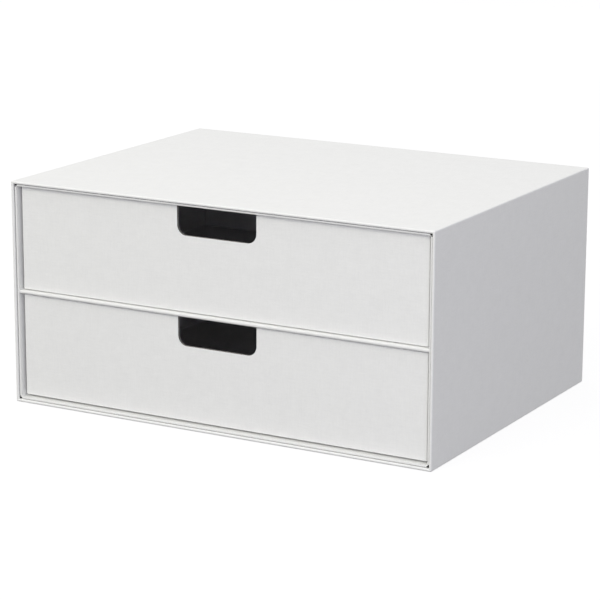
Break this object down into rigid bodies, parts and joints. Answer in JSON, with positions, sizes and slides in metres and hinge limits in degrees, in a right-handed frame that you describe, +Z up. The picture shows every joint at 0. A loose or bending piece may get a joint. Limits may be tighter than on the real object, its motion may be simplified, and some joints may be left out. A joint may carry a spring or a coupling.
{
  "type": "mini chest of drawers",
  "caption": "Tabletop chest of white paper-covered board with open-topped drawers that slide in a folded card inner sleeve and are pulled by finger cut-outs.",
  "frame": {"origin": "middle of the underside, on the surface that the chest stands on", "axes": "+X across the width to the viewer's right, -Y towards the front where the drawers come out, +Z up"},
  "size_m": [0.33, 0.25, 0.16],
  "materials": {
    "white_cover_paper": "matte",
    "greyboard": "matte",
    "white_card": "matte",
    "white_lining_paper": "matte"
  },
  "bodies": {
    "casing": {"outer_bottom_board": "greyboard", "outer_right_board": "greyboard", "outer_top_board": "greyboard", "outer_left_board": "greyboard", "back_board": "greyboard", "outer_cover": "white_cover_paper", "base_sheet": "white_cover_paper", "back_lining": "white_cover_paper", "back_cover": "white_cover_paper", "liner_sleeve": "white_card", "shelf": "white_card"},
    "upper_drawer": {"upper_drawer_front_board": "greyboard", "upper_drawer_back_board": "greyboard", "upper_drawer_left_board": "greyboard", "upper_drawer_right_board": "greyboard", "upper_drawer_base_board": "greyboard", "upper_drawer_wrap": "white_cover_paper", "upper_drawer_lining": "white_lining_paper"},
    "lower_drawer": {"lower_drawer_front_board": "greyboard", "lower_drawer_back_board": "greyboard", "lower_drawer_left_board": "greyboard", "lower_drawer_right_board": "greyboard", "lower_drawer_base_board": "greyboard", "lower_drawer_wrap": "white_cover_paper", "lower_drawer_lining": "white_lining_paper"}
  },
  "joints": [
    {"name": "upper_drawer_slide", "type": "slide", "parent": "casing", "child": "upper_drawer", "axis": [0, -1, 0], "range_m": [0, 0.2]},
    {"name": "lower_drawer_slide", "type": "slide", "parent": "casing", "child": "lower_drawer", "axis": [0, -1, 0], "range_m": [0, 0.2]}
  ]
}
